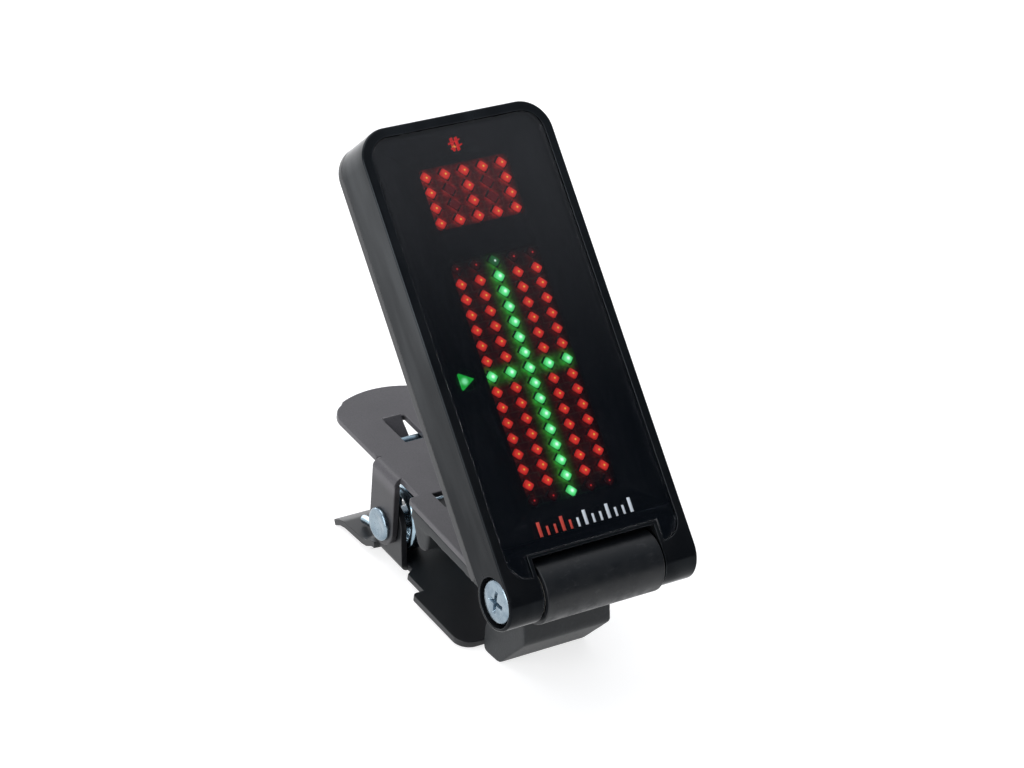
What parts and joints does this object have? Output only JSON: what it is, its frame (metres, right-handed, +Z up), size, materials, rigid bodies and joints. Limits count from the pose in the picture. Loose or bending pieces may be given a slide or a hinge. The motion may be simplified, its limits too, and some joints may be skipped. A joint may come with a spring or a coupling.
{
  "type": "clip-on instrument tuner",
  "caption": "Slim lit tuner display head hinged on the rolled front edge of a sprung sheet-metal clip with rubber jaws.",
  "frame": {"origin": "centre of the flat underside of the lower jaw boot, on the surface the part stands on", "axes": "+Z up; +Y back towards the clip's finger tabs, away from the player's side of the display; +X along the hinge and pivot axes, to the right of the display"},
  "size_m": [0.0254, 0.0513, 0.0572],
  "materials": {
    "housing_gloss": "polished moulded black",
    "lens_smoke": "smoked clear acrylic, polished",
    "mask_black": "printed black film",
    "board_green": "solder mask over copper tracks",
    "lamp_red": "lit red lamp chip",
    "lamp_green": "lit green lamp chip",
    "lamp_off": "unlit lamp chip",
    "chip_black": "moulded epoxy",
    "switch_metal": "pressed steel shell",
    "tray_plastic": "moulded nylon",
    "cell_steel": "nickel-plated can",
    "contact_metal": "sprung contact strip",
    "pickup_brass": "brass disc with ceramic face",
    "cover_satin": "fine-grained moulding",
    "zinc_plate": "bright zinc plate, slightly blue",
    "black_screw": "black oxide",
    "button_rubber": "soft moulded rubber",
    "washer_steel": "spring steel",
    "bush_nylon": "natural nylon",
    "clip_paint": "fine matt powder coat, brown-grey",
    "clip_paint_dark": "fine matt powder coat, near black",
    "jaw_rubber": "grainy moulded rubber",
    "spring_zinc": "bright blued-zinc wire"
  },
  "bodies": {
    "lower_clip": {"lower_jaw_plate": "clip_paint_dark", "lower_jaw_boot": "jaw_rubber"},
    "upper_clip": {"upper_jaw_plate": "clip_paint", "upper_jaw_pad": "jaw_rubber", "pivot_rivet": "zinc_plate", "hinge_bush": "bush_nylon", "torsion_spring": "spring_zinc"},
    "head": {"front_housing": "housing_gloss", "lens_window": "lens_smoke", "display_mask": "mask_black", "main_board": "board_green", "red_lamps": "lamp_red", "green_lamps": "lamp_green", "unlit_lamps": "lamp_off", "sharp_sign_lamp": "lamp_red", "pointer_lamp": "lamp_green", "board_chips": "chip_black", "tactile_switch": "switch_metal", "battery_tray": "tray_plastic", "coin_cell": "cell_steel", "cell_contact_front": "contact_metal", "cell_contact_side": "contact_metal", "pickup_disc": "pickup_brass", "back_cover": "cover_satin", "battery_door": "cover_satin", "door_screw": "zinc_plate", "case_screws": "black_screw", "hinge_screw": "zinc_plate", "hinge_nut": "zinc_plate", "hinge_washers": "washer_steel"},
    "power_button": {"power_button": "button_rubber"}
  },
  "joints": [
    {"name": "jaw_hinge", "type": "hinge", "parent": "lower_clip", "child": "upper_clip", "pos_m": [0, 0.02225, 0.00639], "axis": [-1, 0, 0], "range_deg": [0, 32], "stiffness_Nm_per_rad": 0.2, "springref_deg": -5.73, "deforming": ["torsion_spring"]},
    {"name": "head_hinge", "type": "hinge", "parent": "upper_clip", "child": "head", "pos_m": [0, -0.0094, 0.0145], "axis": [1, 0, 0], "range_deg": [-30, 195]},
    {"name": "button_press", "type": "slide", "parent": "head", "child": "power_button", "axis": [0, -0.7408, 0.6717], "range_m": [0, 0.0003], "stiffness_N_per_m": 1200, "springref_m": -0.0003}
  ]
}
